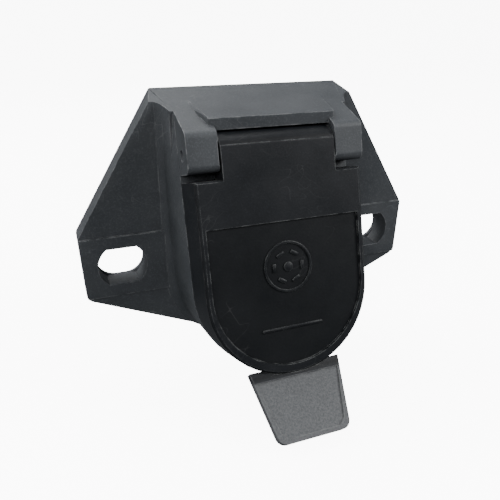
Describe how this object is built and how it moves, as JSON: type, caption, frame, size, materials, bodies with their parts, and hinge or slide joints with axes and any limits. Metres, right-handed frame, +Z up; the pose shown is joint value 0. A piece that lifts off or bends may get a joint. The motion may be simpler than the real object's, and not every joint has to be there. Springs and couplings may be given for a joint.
{
  "type": "trailer wiring socket",
  "caption": "Flange-mounted vehicle socket for trailer wiring: a tilted round mouth with flat contacts round a centre pin, under a spring-closed lid with a lift tab.",
  "frame": {"origin": "on the flange's flat mounting face, midway between the two mounting slots", "axes": "+X across the flange along the line of the slots, +Y out of the mounting face towards the vehicle, +Z up; the lid faces -Y"},
  "size_m": [0.1334, 0.0962, 0.1102],
  "materials": {
    "housing_plastic": "fine moulded texture, satin",
    "lid_plastic": "fine moulded texture, satin",
    "steel": "zinc plated",
    "spring_steel": "bright spring wire",
    "seal_rubber": "soft matt",
    "insert_plastic": "moulded, matt",
    "brass": "rolled",
    "boot_rubber": "soft matt"
  },
  "bodies": {
    "base": {"housing": "housing_plastic", "hinge_pin": "steel", "lid_spring": "spring_steel", "contact_insert": "insert_plastic", "insert_seal": "seal_rubber", "insert_screws": "steel", "centre_pin": "brass", "tail_blade": "brass", "brake_blade": "brass", "ground_blade": "brass", "left_turn_blade": "brass", "right_turn_blade": "brass", "battery_blade": "brass", "terminal_screws": "steel", "wire_clamps": "brass", "rear_boot": "boot_rubber", "boot_clamp": "steel", "clamp_screw": "steel"},
    "cover": {"lid": "lid_plastic", "lid_gasket": "seal_rubber"}
  },
  "joints": [
    {"name": "lid_hinge", "type": "hinge", "parent": "base", "child": "cover", "pos_m": [0, -0.0255, 0.04252], "axis": [-1, 0, 0], "range_deg": [0, 88], "stiffness_Nm_per_rad": 0.12, "springref_deg": -28.65, "deforming": ["lid_spring"]}
  ]
}
